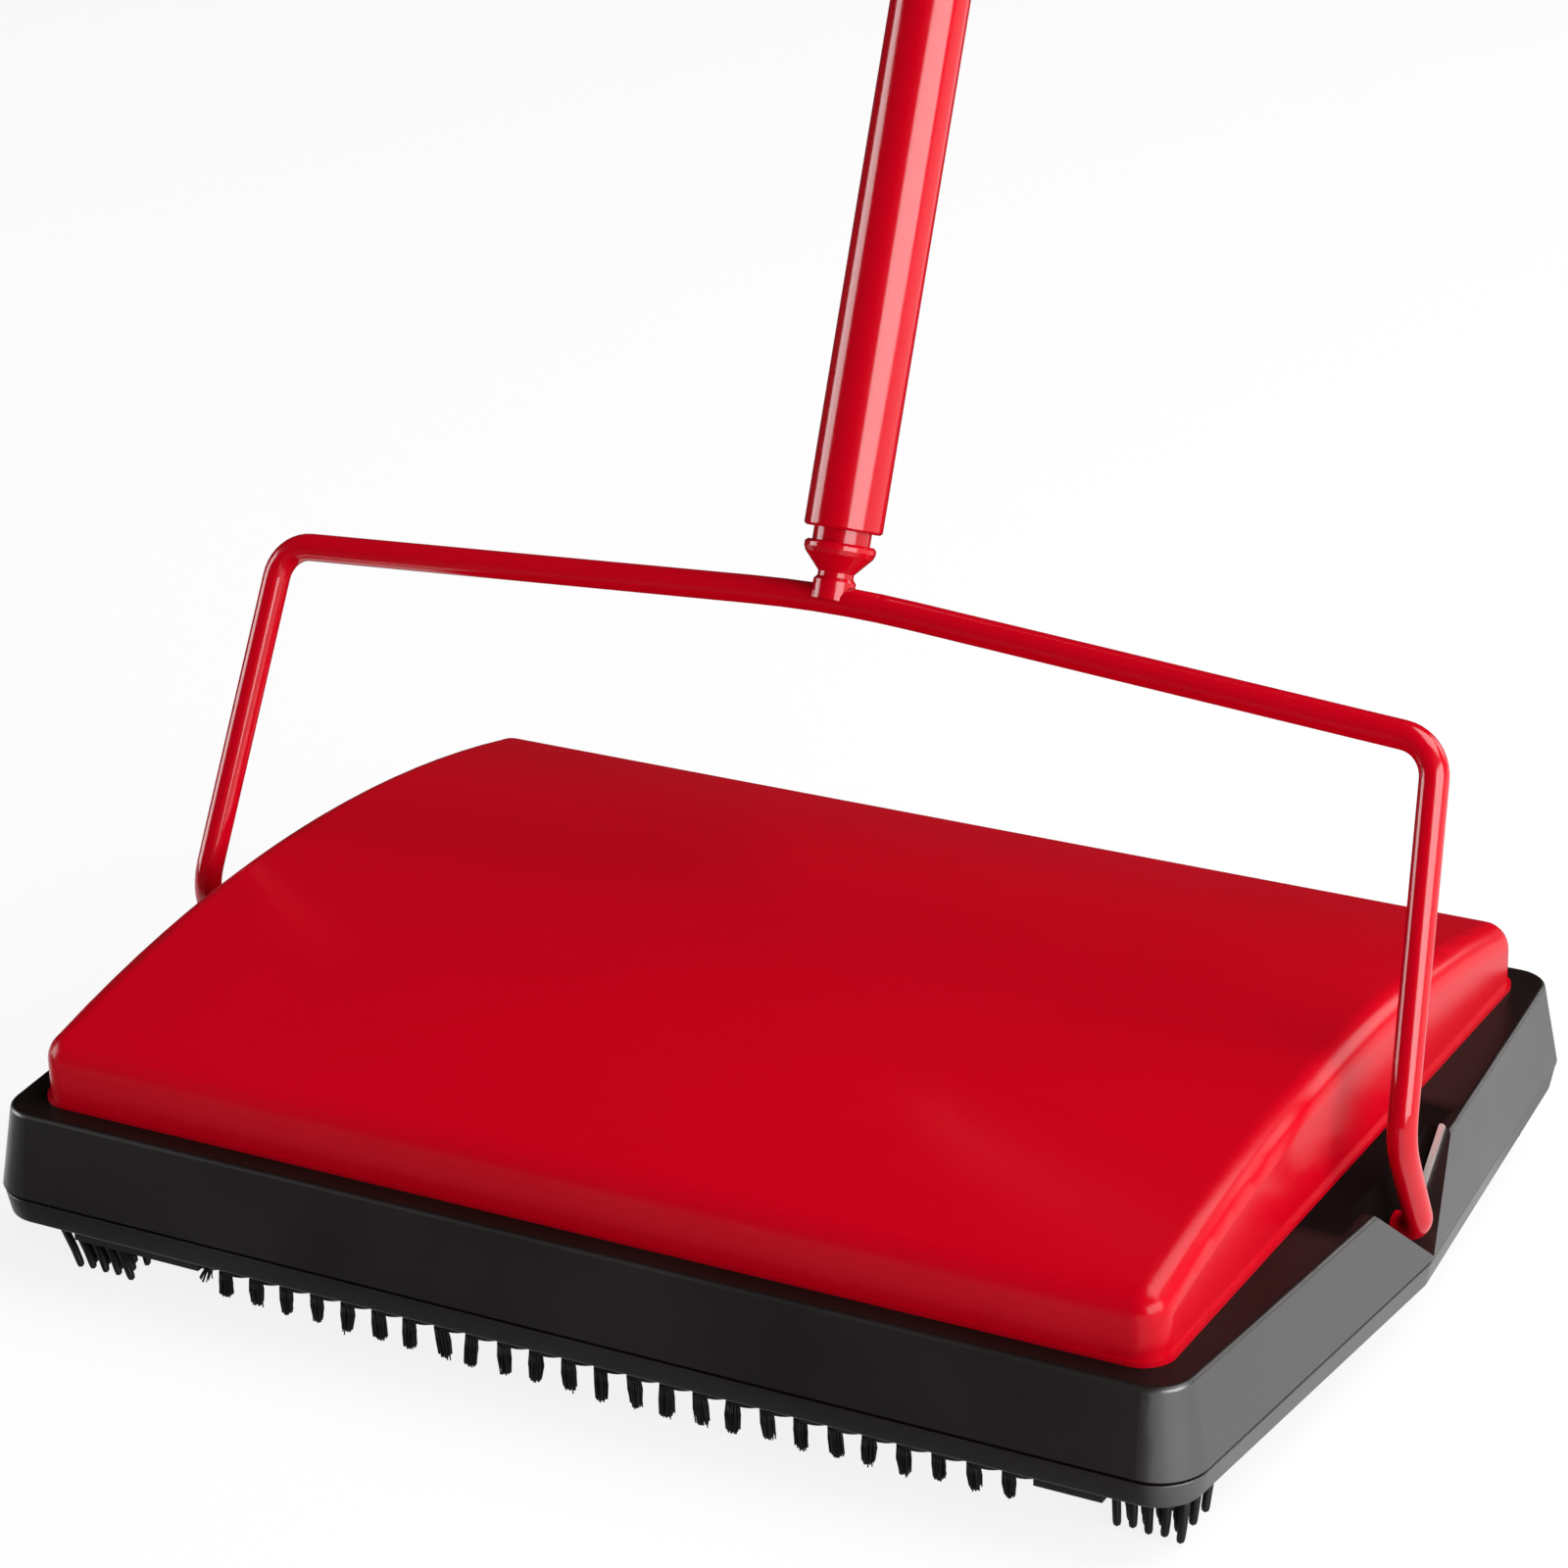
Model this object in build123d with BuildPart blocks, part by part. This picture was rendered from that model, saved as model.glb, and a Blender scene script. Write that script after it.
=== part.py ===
"""Carpet sweeper: low covered body on four wheels, with a brush roll, two dust pans and a bail handle.

Millimetres. X runs to the right, Y to the rear, Z up. The origin is on the floor under the middle of
the body.
"""

import os
from math import atan, cos, degrees, radians, sin, sqrt, tan

from build123d import *

# Body outline, at the seam between shell and skirt
body_half_w = 140.0
body_half_d = 104.3
side_bulge = 9.0
corner_r = 10.9
skirt_bottom = 13.4
seam_z = 20.0
ledge_z = 38.7
wall_draft = 3.1
skirt_draft = 1.4
wall_t = 2.6
skirt_t = 3.0
seam_gap = 0.25
skirt_step = 0.2
groove_depth = 1.2
groove_h = 0.65
groove_lip_r = 0.3
ledge_edge_r = 1.2
knee_r = 6.0

# Clearances
run_fit = 0.05
seat_gap = 0.02
mount_gap = 0.3
flange_gap = 0.1364
wheel_play = 0.6
pan_play = 0.5
lip_gap = 0.4
sweep_gap = 0.4
drive_gap = 0.3

# Cover
ledge_side = 9.3
ledge_front = 9.5
cover_half_w = body_half_w - ledge_side
cover_half_d = body_half_d - ledge_front
cover_corner_r = 6.2
cover_rise = 26.0
cover_peak = ledge_z + cover_rise
cover_arch_r = 374.0
cover_t = 1.1
cover_edge_r = 6.0
cover_rim = 0.8
cover_lap = 3.3

# Notch in each side, and the wall behind it
notch_half_w = 21.0
notch_depth = 1.0
notch_rise = 0.3
notch_wall_t = 3.0
notch_block_half_d = 26.0
notch_back_x = body_half_w - notch_depth
notch_apex = seam_z + notch_rise
notch_reach = notch_half_w / (ledge_z - notch_apex)
block_x = notch_back_x - notch_wall_t

# Bail and its pivots
rod_r = 3.1
bush_wall = 0.5
bush_flange = 0.25
bush_flange_t = 1.0
bush_r = rod_r + bush_wall
bush_flange_r = bush_r + bush_flange
pivot_y = 1.0
pivot_z = notch_apex + (bush_flange_r + flange_gap) / sin(atan(notch_reach))
foot_stand_off = 6.9
foot_len = 28.1
foot_lean = -24.9
handle_lean = 23.1
leg_len = 80.3
leg_taper = 6.9
foot_x = notch_back_x + foot_stand_off
leg_top_x = foot_x - leg_taper
bar_rise = 8.9
pivot_bend_r = 5.0
foot_bend_r = 13.0
bar_corner_r = 8.5
bar_bend_r = 298.0

# Handle
tube_r = 8.5
tube_t = 0.8
tube_len = 305.0
neck_r = 3.9
neck_len = 5.8
cone_len = 4.3
bead_step = 0.75
bead_len = 2.1
groove_step = 2.25
groove_len = 2.8
spigot_len = 18.0
ring_len = 6.0
rim_bevel = 0.5
bead_r = tube_r - bead_step
groove_r = tube_r - groove_step
ring_r = tube_r
cap_len = 46.0
cap_flat = 5.5
cap_nose = 6.0
hang_hole_r = 3.5

# End frames, wheels and brush roll, from the notch wall inwards
frame_t = 2.5
frame_half_d = 60.0
stand_off_len = 7.1
wheel_r = 22.0
wheel_w = 13.0
tyre_t = 5.0
hub_r = wheel_r - tyre_t
hub_boss_r = 6.0
hub_rim_t = 2.6
hub_web_t = 3.0
axle_r = 2.5
drum_r = 16.0
drum_margin = 1.0
drum_boss_gap = 1.5
core_r = 8.6
core_gap = 0.9
sleeve_t = 0.8
roll_z = 30.0
roll_tip_r = roll_z - sweep_gap
sleeve_r = core_r + sleeve_t
frame_out_x = block_x - mount_gap
frame_x = frame_out_x - frame_t
stand_off_x = frame_x - stand_off_len
wheel_in_x = stand_off_x - wheel_play - wheel_w
drum_in_x = wheel_in_x - drum_margin
drum_w = wheel_w + 2 * drum_margin
core_half_w = drum_in_x - core_gap

# Dust pans
pan_side_gap = 4.5
pan_end_gap = 14.0
pan_t = 1.2
pan_floor_z = 8.0
pan_top_z = 24.0
hinge_r = 1.5
hinge_set = 3.1
hinge_rise = 0.8
pan_half_w = wheel_in_x - pan_side_gap
pan_back_y = body_half_d - pan_end_gap
pan_lip_y = roll_tip_r + lip_gap
hinge_y = pan_back_y - hinge_set
hinge_z = pan_floor_z + pan_t + hinge_r + hinge_rise

# Hangers, and the edge brushes that they hold
hanger_w = 7.5
hanger_lap = 10.8
hanger_block_w = 23.3
stem_r = 0.9
stem_z = 11.2
stem_set = 1.6
stem_back = 2.2
stem_wall = 0.4
hanger_in_x = pan_half_w + pan_play
hanger_out_x = hanger_in_x + hanger_w
hanger_block_in_x = hanger_in_x - hanger_lap
hanger_block_out_x = hanger_block_in_x + hanger_block_w
hanger_front = body_half_d - skirt_draft - skirt_t - mount_gap
stem_y = hanger_front - stem_set
hanger_block_y = stem_y - stem_back
brush_shift = 8.7
tuft_count = 25
tuft_margin = 6.0
tuft_strands = 3
tuft_strand = 1.0
tuft_low_z = 2.8
tuft_sag = 1.6
tuft_pitch = 2 * (hanger_block_in_x - tuft_margin) / (tuft_count - 1)

# Corner brushes
corner_set_x = 13.0
corner_set_y = 20.5
corner_x = body_half_w - corner_set_x
corner_y = body_half_d - corner_set_y
holder_w = 18.2
corner_strand = 1.5
corner_pitch = 4.1
corner_gather = 0.8

# Roll tufts
roll_rows = 2
roll_tufts = 20
roll_strand = 1.3
roll_twist = 240.0

# Cover fixings
screw_set_x = 12.7
screw_set_y = 11.8
screw_x = cover_half_w - screw_set_x
screw_y = cover_half_d - screw_set_y
screw_r = 1.9
screw_head_r = 3.4
boss_r = 4.2
tab_w = 17.0

sides = {"left": -1, "right": 1}
ends = {"front": -1, "rear": 1}
os.makedirs("parts", exist_ok=True)


def save(built, name):
    """Label a finished piece and write it."""
    built.part.label = name
    export_step(built.part, f"parts/{name}.step")


def body_outline(inset):
    """Plan of the body, pushed out to a shallow point in the middle of each side."""
    half_w = body_half_w - inset
    half_d = body_half_d - inset
    knee_x = half_w + side_bulge
    with BuildSketch() as plan:
        with BuildLine():
            Polyline(
                (half_w, -half_d),
                (knee_x, 0),
                (half_w, half_d),
                (-half_w, half_d),
                (-knee_x, 0),
                (-half_w, -half_d),
                close=True,
            )
        make_face()
        fillet(plan.vertices().filter_by(lambda v: abs(v.Y) > 1), corner_r - inset)
        fillet(plan.vertices().filter_by(lambda v: abs(v.Y) < 1), knee_r)
    return plan.sketch


def rounded_path(points, radii):
    """Straight runs through the points, with an arc of the given radius at each inner one."""
    start = Vector(points[0])
    for before, here, after, radius in zip(points, points[1:], points[2:], radii):
        corner = Vector(here)
        back = (Vector(before) - corner).normalized()
        ahead = (Vector(after) - corner).normalized()
        half = radians(back.get_angle(ahead)) / 2
        reach = radius / tan(half)
        middle = corner + (back + ahead).normalized() * (radius / sin(half) - radius)
        Line(start, corner + back * reach)
        ThreePointArc(corner + back * reach, middle, corner + ahead * reach)
        start = corner + ahead * reach
    Line(start, Vector(points[-1]))


# Base shell
inner_top = ledge_z - wall_t
inner_top_inset = wall_draft * (inner_top - seam_z) / (ledge_z - seam_z) + wall_t
outline_seam = body_outline(0)
outline_ledge = body_outline(wall_draft)
outline_in_seam = body_outline(wall_t)
outline_in_top = body_outline(inner_top_inset)
outline_skirt = body_outline(skirt_draft)
outline_skirt_top = body_outline(skirt_step)
outline_groove = body_outline(groove_depth)
outline_skirt_in = body_outline(skirt_draft + skirt_t)
block_w = body_half_w + side_bulge - block_x

with BuildPart() as cavity:
    with BuildSketch(Plane.XY.offset(seam_z)):
        add(outline_in_seam)
    with BuildSketch(Plane.XY.offset(inner_top)):
        add(outline_in_top)
    loft(ruled=True)
    with Locations((block_x + block_w / 2, 0, seam_z), (-block_x - block_w / 2, 0, seam_z)):
        Box(block_w, 2 * notch_block_half_d, 60, mode=Mode.SUBTRACT)

with BuildPart() as base_shell:
    with BuildSketch(Plane.XY.offset(seam_z)):
        add(outline_seam)
    with BuildSketch(Plane.XY.offset(ledge_z)):
        add(outline_ledge)
    loft(ruled=True)
    fillet(base_shell.faces().sort_by(Axis.Z)[-1].edges(), ledge_edge_r)
    add(cavity.part, mode=Mode.SUBTRACT)
    with BuildSketch(Plane.XY.offset(ledge_z)):
        RectangleRounded(2 * (cover_half_w - cover_lap), 2 * (cover_half_d - cover_lap), cover_corner_r)
        with GridLocations(2 * (cover_half_w - cover_lap), 2 * (cover_half_d - cover_lap), 2, 2):
            RectangleRounded(2 * tab_w, 2 * tab_w, 4, mode=Mode.SUBTRACT)
    extrude(amount=-ledge_z, mode=Mode.SUBTRACT)
    for side in sides.values():
        with BuildSketch(Plane.YZ.offset(side * notch_back_x)):
            with BuildLine():
                Polyline(
                    (pivot_y, notch_apex),
                    (pivot_y + notch_reach * (ledge_z + 4 - notch_apex), ledge_z + 4),
                    (pivot_y - notch_reach * (ledge_z + 4 - notch_apex), ledge_z + 4),
                    close=True,
                )
            make_face()
        extrude(amount=side * 30, mode=Mode.SUBTRACT)
    with Locations((0, pivot_y, pivot_z)):
        Cylinder(bush_r + seat_gap, 2 * body_half_w, rotation=(0, 90, 0), mode=Mode.SUBTRACT)
    with GridLocations(2 * screw_x, 2 * screw_y, 2, 2):
        Hole(screw_r + run_fit)
save(base_shell, "base_shell")

# Skirt under the shell, with a groove along the seam
groove_z = seam_z - seam_gap - groove_h
with BuildPart() as base_skirt:
    with BuildSketch(Plane.XY.offset(skirt_bottom)):
        add(outline_skirt)
    with BuildSketch(Plane.XY.offset(seam_z - seam_gap)):
        add(outline_skirt_top)
    loft(ruled=True)
    with BuildSketch(Plane.XY.offset(skirt_bottom)):
        add(outline_skirt_in)
    extrude(amount=seam_z, mode=Mode.SUBTRACT)
    fillet(base_skirt.faces().sort_by(Axis.Z)[0].outer_wire().edges(), 0.8)
    with BuildSketch(Plane.XY.offset(groove_z)):
        add(outline_seam)
        add(outline_groove, mode=Mode.SUBTRACT)
    extrude(amount=seam_z, mode=Mode.SUBTRACT)
    groove_floor = base_skirt.faces().filter_by_position(Axis.Z, groove_z - 0.01, groove_z + 0.01)[0]
    fillet(groove_floor.outer_wire().edges(), groove_lip_r)
save(base_skirt, "base_skirt")

# Cover, pressed from sheet
cover_tall = cover_peak - ledge_z
with BuildPart() as arch:
    with BuildSketch(Plane.YZ):
        with Locations((0, cover_peak - cover_arch_r)):
            Circle(cover_arch_r)
    extrude(amount=2 * body_half_w, both=True)

with BuildPart() as arch_inside:
    with BuildSketch(Plane.YZ):
        with Locations((0, cover_peak - cover_arch_r)):
            Circle(cover_arch_r - cover_t)
    extrude(amount=2 * body_half_w, both=True)

with BuildPart() as cover:
    with BuildSketch(Plane.XY.offset(ledge_z)):
        RectangleRounded(2 * cover_half_w, 2 * cover_half_d, cover_corner_r)
    extrude(amount=2 * cover_tall)
    add(arch.part, mode=Mode.INTERSECT)
    fillet(cover.faces().sort_by(Axis.Z)[-1].edges(), cover_edge_r)
    offset(amount=-cover_t, openings=cover.faces().sort_by(Axis.Z)[0])
    with BuildSketch(Plane.XY.offset(ledge_z)):
        RectangleRounded(
            2 * (cover_half_w + cover_rim),
            2 * (cover_half_d + cover_rim),
            cover_corner_r + cover_rim,
        )
        RectangleRounded(
            2 * (cover_half_w - cover_t / 2),
            2 * (cover_half_d - cover_t / 2),
            cover_corner_r - cover_t / 2,
            mode=Mode.SUBTRACT,
        )
    extrude(amount=cover_t)
save(cover, "cover")

# Bosses inside the cover, and the screws that come up through the shell's tabs
with BuildPart() as cover_bosses:
    with BuildSketch(Plane.XY.offset(ledge_z + seat_gap)):
        with GridLocations(2 * screw_x, 2 * screw_y, 2, 2):
            Circle(boss_r)
            Circle(screw_r + run_fit, mode=Mode.SUBTRACT)
    extrude(amount=cover_tall)
    add(arch_inside.part, mode=Mode.INTERSECT)
save(cover_bosses, "cover_bosses")

screw_len = 11.0
screw_head_t = 2.2
with BuildPart() as cover_screws:
    with BuildSketch(Plane.XY.offset(inner_top - seat_gap)):
        with GridLocations(2 * screw_x, 2 * screw_y, 2, 2):
            Circle(screw_head_r)
    extrude(amount=-screw_head_t)
    with BuildSketch(Plane.XY.offset(inner_top - seat_gap)):
        with GridLocations(2 * screw_x, 2 * screw_y, 2, 2):
            Circle(screw_r)
    extrude(amount=screw_len)
save(cover_screws, "cover_screws")

# Bright strips on the rear slope of each notch
slope_angle = degrees(atan(1 / notch_reach))
strip_len = 15.5
strip_w = 1.3
strip_t = 0.8
strip_x = body_half_w + 2.0
strip_y = pivot_y + 15.5
slope_z = notch_apex + (strip_y - pivot_y) / notch_reach
for name, side in sides.items():
    slope_plane = Plane(
        origin=(side * strip_x, strip_y, slope_z),
        x_dir=(1, 0, 0),
        z_dir=(0, -sin(radians(slope_angle)), cos(radians(slope_angle))),
    )
    with BuildPart(slope_plane) as notch_strip:
        with Locations((0, 0, seat_gap)):
            Box(strip_w, strip_len, strip_t, align=(Align.CENTER, Align.CENTER, Align.MIN))
        fillet(notch_strip.edges().filter_by(Axis(slope_plane.origin, slope_plane.z_dir)), 0.5)
    save(notch_strip, f"notch_strip_{name}")

# Bushes for the bail's feet
for name, side in sides.items():
    with BuildPart() as bail_bush:
        with BuildSketch(Plane.YZ.offset(side * block_x)):
            with Locations((pivot_y, pivot_z)):
                Circle(bush_r)
        extrude(amount=side * (notch_wall_t + bush_flange_t))
        with BuildSketch(Plane.YZ.offset(side * (notch_back_x + seat_gap))):
            with Locations((pivot_y, pivot_z)):
                Circle(bush_flange_r)
        extrude(amount=side * (bush_flange_t - seat_gap))
        with BuildSketch(Plane.YZ.offset(side * block_x)):
            with Locations((pivot_y, pivot_z)):
                Circle(rod_r + run_fit)
        extrude(amount=side * 10, mode=Mode.SUBTRACT)
    save(bail_bush, f"bail_bush_{name}")

# Bail: one bent rod from pin to pin
lean_y = sin(radians(handle_lean))
lean_z = cos(radians(handle_lean))
foot_top = (
    foot_x - 0.4,
    pivot_y + foot_len * sin(radians(foot_lean)),
    pivot_z + foot_len * cos(radians(foot_lean)),
)
leg_top = (leg_top_x, foot_top[1] + leg_len * lean_y, foot_top[2] + leg_len * lean_z)
bar_peak = (0, leg_top[1] + bar_rise * lean_y, leg_top[2] + bar_rise * lean_z)
pin_end = (block_x + mount_gap, pivot_y, pivot_z)
bail_right = [pin_end, (foot_x, pivot_y, pivot_z), foot_top, leg_top]
bail_left = [(-x, y, z) for x, y, z in reversed(bail_right)]
bend_radii = [pivot_bend_r, foot_bend_r, bar_corner_r]
with BuildPart() as bail:
    with BuildLine() as bail_line:
        rounded_path(bail_right + [bar_peak] + bail_left, bend_radii + [bar_bend_r] + bend_radii[::-1])
    with BuildSketch(Plane(origin=pin_end, z_dir=(1, 0, 0))):
        Circle(rod_r)
    sweep()
    chamfer(bail.faces().filter_by(Plane.YZ).edges(), 0.5)
save(bail, "bail")

# Handle, on the line that leaves the middle of the crossbar
bar_half_angle = atan(bar_rise / leg_top_x)
bar_drop = bar_bend_r * (1 / cos(bar_half_angle) - 1)
bar_mid = (0, bar_peak[1] - bar_drop * lean_y, bar_peak[2] - bar_drop * lean_z)
handle_axis = Axis(bar_mid, (0, lean_y, lean_z))
handle_plane = Plane(origin=bar_mid, x_dir=(1, 0, 0), z_dir=(0, -lean_z, lean_y))
bead_at = neck_len + cone_len
groove_at = bead_at + bead_len
tube_at = groove_at + groove_len
bore_r = tube_r - tube_t
plug_r = bore_r - run_fit

with BuildPart() as neck:
    with BuildSketch(handle_plane):
        with BuildLine():
            Polyline(
                (0, 0),
                (neck_r + 0.7, 0),
                (neck_r + 0.7, rod_r + 0.9),
                (neck_r, rod_r + 1.7),
                (neck_r, neck_len),
                (bead_r, bead_at),
                (bead_r, groove_at),
                (groove_r, groove_at),
                (groove_r, tube_at),
                (plug_r, tube_at),
                (plug_r, tube_at + spigot_len),
                (0, tube_at + spigot_len),
                close=True,
            )
        make_face()
    revolve(axis=handle_axis)
    with BuildSketch(Plane.YZ):
        with Locations((bar_mid[1], bar_mid[2])):
            Circle(rod_r + 0.06)
    extrude(amount=20, both=True, mode=Mode.SUBTRACT)
    bead_edges = neck.edges().filter_by(GeomType.CIRCLE).filter_by(lambda e: abs(e.radius - bead_r) < 0.01)
    chamfer(bead_edges, 0.6)
save(neck, "neck")

tube_step = tube_len + ring_len
for index, name in enumerate(["lower", "middle", "upper"]):
    start = tube_at + index * tube_step + seat_gap
    with BuildPart() as tube:
        with BuildSketch(handle_plane):
            with Locations((tube_r - tube_t / 2, start + (tube_len - 2 * seat_gap) / 2)):
                Rectangle(tube_t, tube_len - 2 * seat_gap)
        revolve(axis=handle_axis)
        rim = tube.edges().filter_by(GeomType.CIRCLE).filter_by(lambda e: abs(e.radius - tube_r) < 0.01)
        chamfer(rim, rim_bevel)
    save(tube, f"tube_{name}")

for index, name in enumerate(["lower", "upper"]):
    ring_at = tube_at + tube_len + index * tube_step
    with BuildPart() as joint_ring:
        with BuildSketch(handle_plane):
            with BuildLine():
                Polyline(
                    (0, ring_at - spigot_len),
                    (plug_r, ring_at - spigot_len),
                    (plug_r, ring_at),
                    (ring_r, ring_at),
                    (ring_r, ring_at + ring_len),
                    (plug_r, ring_at + ring_len),
                    (plug_r, ring_at + ring_len + spigot_len),
                    (0, ring_at + ring_len + spigot_len),
                    close=True,
                )
            make_face()
        revolve(axis=handle_axis)
        rim = joint_ring.edges().filter_by(GeomType.CIRCLE).filter_by(lambda e: abs(e.radius - ring_r) < 0.01)
        chamfer(rim, rim_bevel)
    save(joint_ring, f"joint_ring_{name}")

cap_at = tube_at + 3 * tube_len + 2 * ring_len
hole_at = cap_at + cap_len - 16
with BuildPart() as end_cap:
    with BuildSketch(handle_plane):
        with BuildLine():
            Polyline(
                (0, cap_at - spigot_len),
                (plug_r, cap_at - spigot_len),
                (plug_r, cap_at),
                (ring_r, cap_at),
                (ring_r, cap_at + cap_len - cap_nose),
                (ring_r - 0.3 * cap_nose, cap_at + cap_len - 0.3 * cap_nose),
                (ring_r - cap_nose, cap_at + cap_len),
                (0, cap_at + cap_len),
                close=True,
            )
        make_face()
    revolve(axis=handle_axis)
    with BuildSketch(handle_plane):
        with Locations((ring_r + cap_flat, hole_at), (-ring_r - cap_flat, hole_at)):
            Rectangle(2 * ring_r, 34)
    extrude(amount=20, both=True, mode=Mode.SUBTRACT)
    with BuildSketch(Plane.YZ):
        with Locations((bar_mid[1] + hole_at * lean_y, bar_mid[2] + hole_at * lean_z)):
            Circle(hang_hole_r)
    extrude(amount=20, both=True, mode=Mode.SUBTRACT)
save(end_cap, "end_cap")

# End frames, which carry the roll's axle and the stub axles
wheel_y = sqrt((drum_r + wheel_r + drive_gap) ** 2 - (roll_z - wheel_r) ** 2)
frame_bottom = skirt_bottom + 1.0
frame_top = inner_top - mount_gap
for name, side in sides.items():
    with BuildPart() as end_frame:
        with BuildSketch(Plane.YZ.offset(side * frame_x)):
            with Locations((0, (frame_bottom + frame_top) / 2)):
                RectangleRounded(2 * frame_half_d, frame_top - frame_bottom, 4)
        extrude(amount=side * frame_t)
        with BuildSketch(Plane.YZ.offset(side * stand_off_x)):
            with Locations((wheel_y, wheel_r), (-wheel_y, wheel_r)):
                Circle(5)
        extrude(amount=side * (frame_x - stand_off_x))
        with BuildSketch(Plane.YZ.offset(side * stand_off_x)):
            with Locations((wheel_y, wheel_r), (-wheel_y, wheel_r)):
                Circle(axle_r + seat_gap)
            with Locations((0, roll_z)):
                Circle(axle_r + run_fit)
        extrude(amount=side * 20, mode=Mode.SUBTRACT)
    save(end_frame, f"end_frame_{name}")

with BuildPart() as stub_axles:
    for side in sides.values():
        with BuildSketch(Plane.YZ.offset(side * (wheel_in_x - wheel_play))):
            with Locations((wheel_y, wheel_r), (-wheel_y, wheel_r)):
                Circle(axle_r)
        extrude(amount=side * (frame_out_x - wheel_in_x + wheel_play))
        with BuildSketch(Plane.YZ.offset(side * (wheel_in_x - wheel_play))):
            with Locations((wheel_y, wheel_r), (-wheel_y, wheel_r)):
                Circle(4.5)
        extrude(amount=side * -1.5)
save(stub_axles, "stub_axles")

# Wheels: a hub with its web at the outer side, and a rubber tyre
wheel_mid_x = wheel_in_x + wheel_w / 2
for end_name, end in ends.items():
    for side_name, side in sides.items():
        wheel_plane = Plane(
            origin=(side * wheel_mid_x, end * wheel_y, wheel_r),
            x_dir=(1, 0, 0),
            z_dir=(0, -1, 0),
        )
        wheel_axis = Axis(wheel_plane.origin, (1, 0, 0))
        with BuildPart() as hub:
            with BuildSketch(wheel_plane):
                with BuildLine():
                    Polyline(
                        (side * wheel_w / 2, axle_r + run_fit),
                        (side * wheel_w / 2, hub_r),
                        (-side * wheel_w / 2, hub_r),
                        (-side * wheel_w / 2, hub_r - hub_rim_t),
                        (side * (wheel_w / 2 - hub_web_t), hub_r - hub_rim_t),
                        (side * (wheel_w / 2 - hub_web_t), hub_boss_r),
                        (-side * wheel_w / 2, hub_boss_r),
                        (-side * wheel_w / 2, axle_r + run_fit),
                        close=True,
                    )
                make_face()
            revolve(axis=wheel_axis)
        save(hub, f"wheel_hub_{end_name}_{side_name}")
        with BuildPart() as tyre:
            with BuildSketch(wheel_plane):
                with Locations((0, (hub_r + seat_gap + wheel_r) / 2)):
                    Rectangle(wheel_w, wheel_r - hub_r - seat_gap)
            revolve(axis=wheel_axis)
        save(tyre, f"tyre_{end_name}_{side_name}")

# Brush roll
roll_plane = Plane(origin=(0, 0, roll_z), x_dir=(0, 1, 0), z_dir=(1, 0, 0))
with BuildPart(roll_plane) as roll_axle:
    Cylinder(axle_r, 2 * frame_out_x)
    chamfer(roll_axle.edges().filter_by(GeomType.CIRCLE), 0.4)
save(roll_axle, "roll_axle")

with BuildPart(roll_plane) as roll_core:
    Cylinder(core_r, 2 * core_half_w)
    Cylinder(axle_r + seat_gap, 2 * core_half_w, mode=Mode.SUBTRACT)
save(roll_core, "roll_core")

drum_boss_len = frame_x - drum_boss_gap - drum_in_x - drum_w
for name, side in sides.items():
    with BuildPart(roll_plane) as drum:
        with Locations((0, 0, side * (drum_in_x + drum_w / 2))):
            Cylinder(drum_r, drum_w)
            Cylinder(axle_r + seat_gap, drum_w, mode=Mode.SUBTRACT)
        with Locations((0, 0, side * (drum_in_x + drum_w + drum_boss_len / 2))):
            Cylinder(5, drum_boss_len)
            Cylinder(axle_r + seat_gap, drum_boss_len, mode=Mode.SUBTRACT)
    save(drum, f"roll_drum_{name}")

roll_pitch = 2 * (core_half_w - 6) / (roll_tufts - 1)
strand_gap = 2.0
roll_strands = [
    Location((0, 0, 0), (0, 0, 180 * row + roll_twist * index / roll_tufts))
    * Location((sleeve_r - 0.4, across * strand_gap, index * roll_pitch - core_half_w + 6))
    for row in range(roll_rows)
    for index in range(roll_tufts)
    for across in (-0.5, 0.5)
]
with BuildPart(roll_plane) as roll_bristles:
    Cylinder(sleeve_r, 2 * core_half_w - 2)
    with Locations(*roll_strands):
        Box(
            roll_tip_r - sleeve_r + 0.4,
            roll_strand,
            roll_strand,
            align=(Align.MIN, Align.CENTER, Align.CENTER),
        )
    Cylinder(core_r + seat_gap, 2 * core_half_w, mode=Mode.SUBTRACT)
save(roll_bristles, "roll_bristles")

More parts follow.
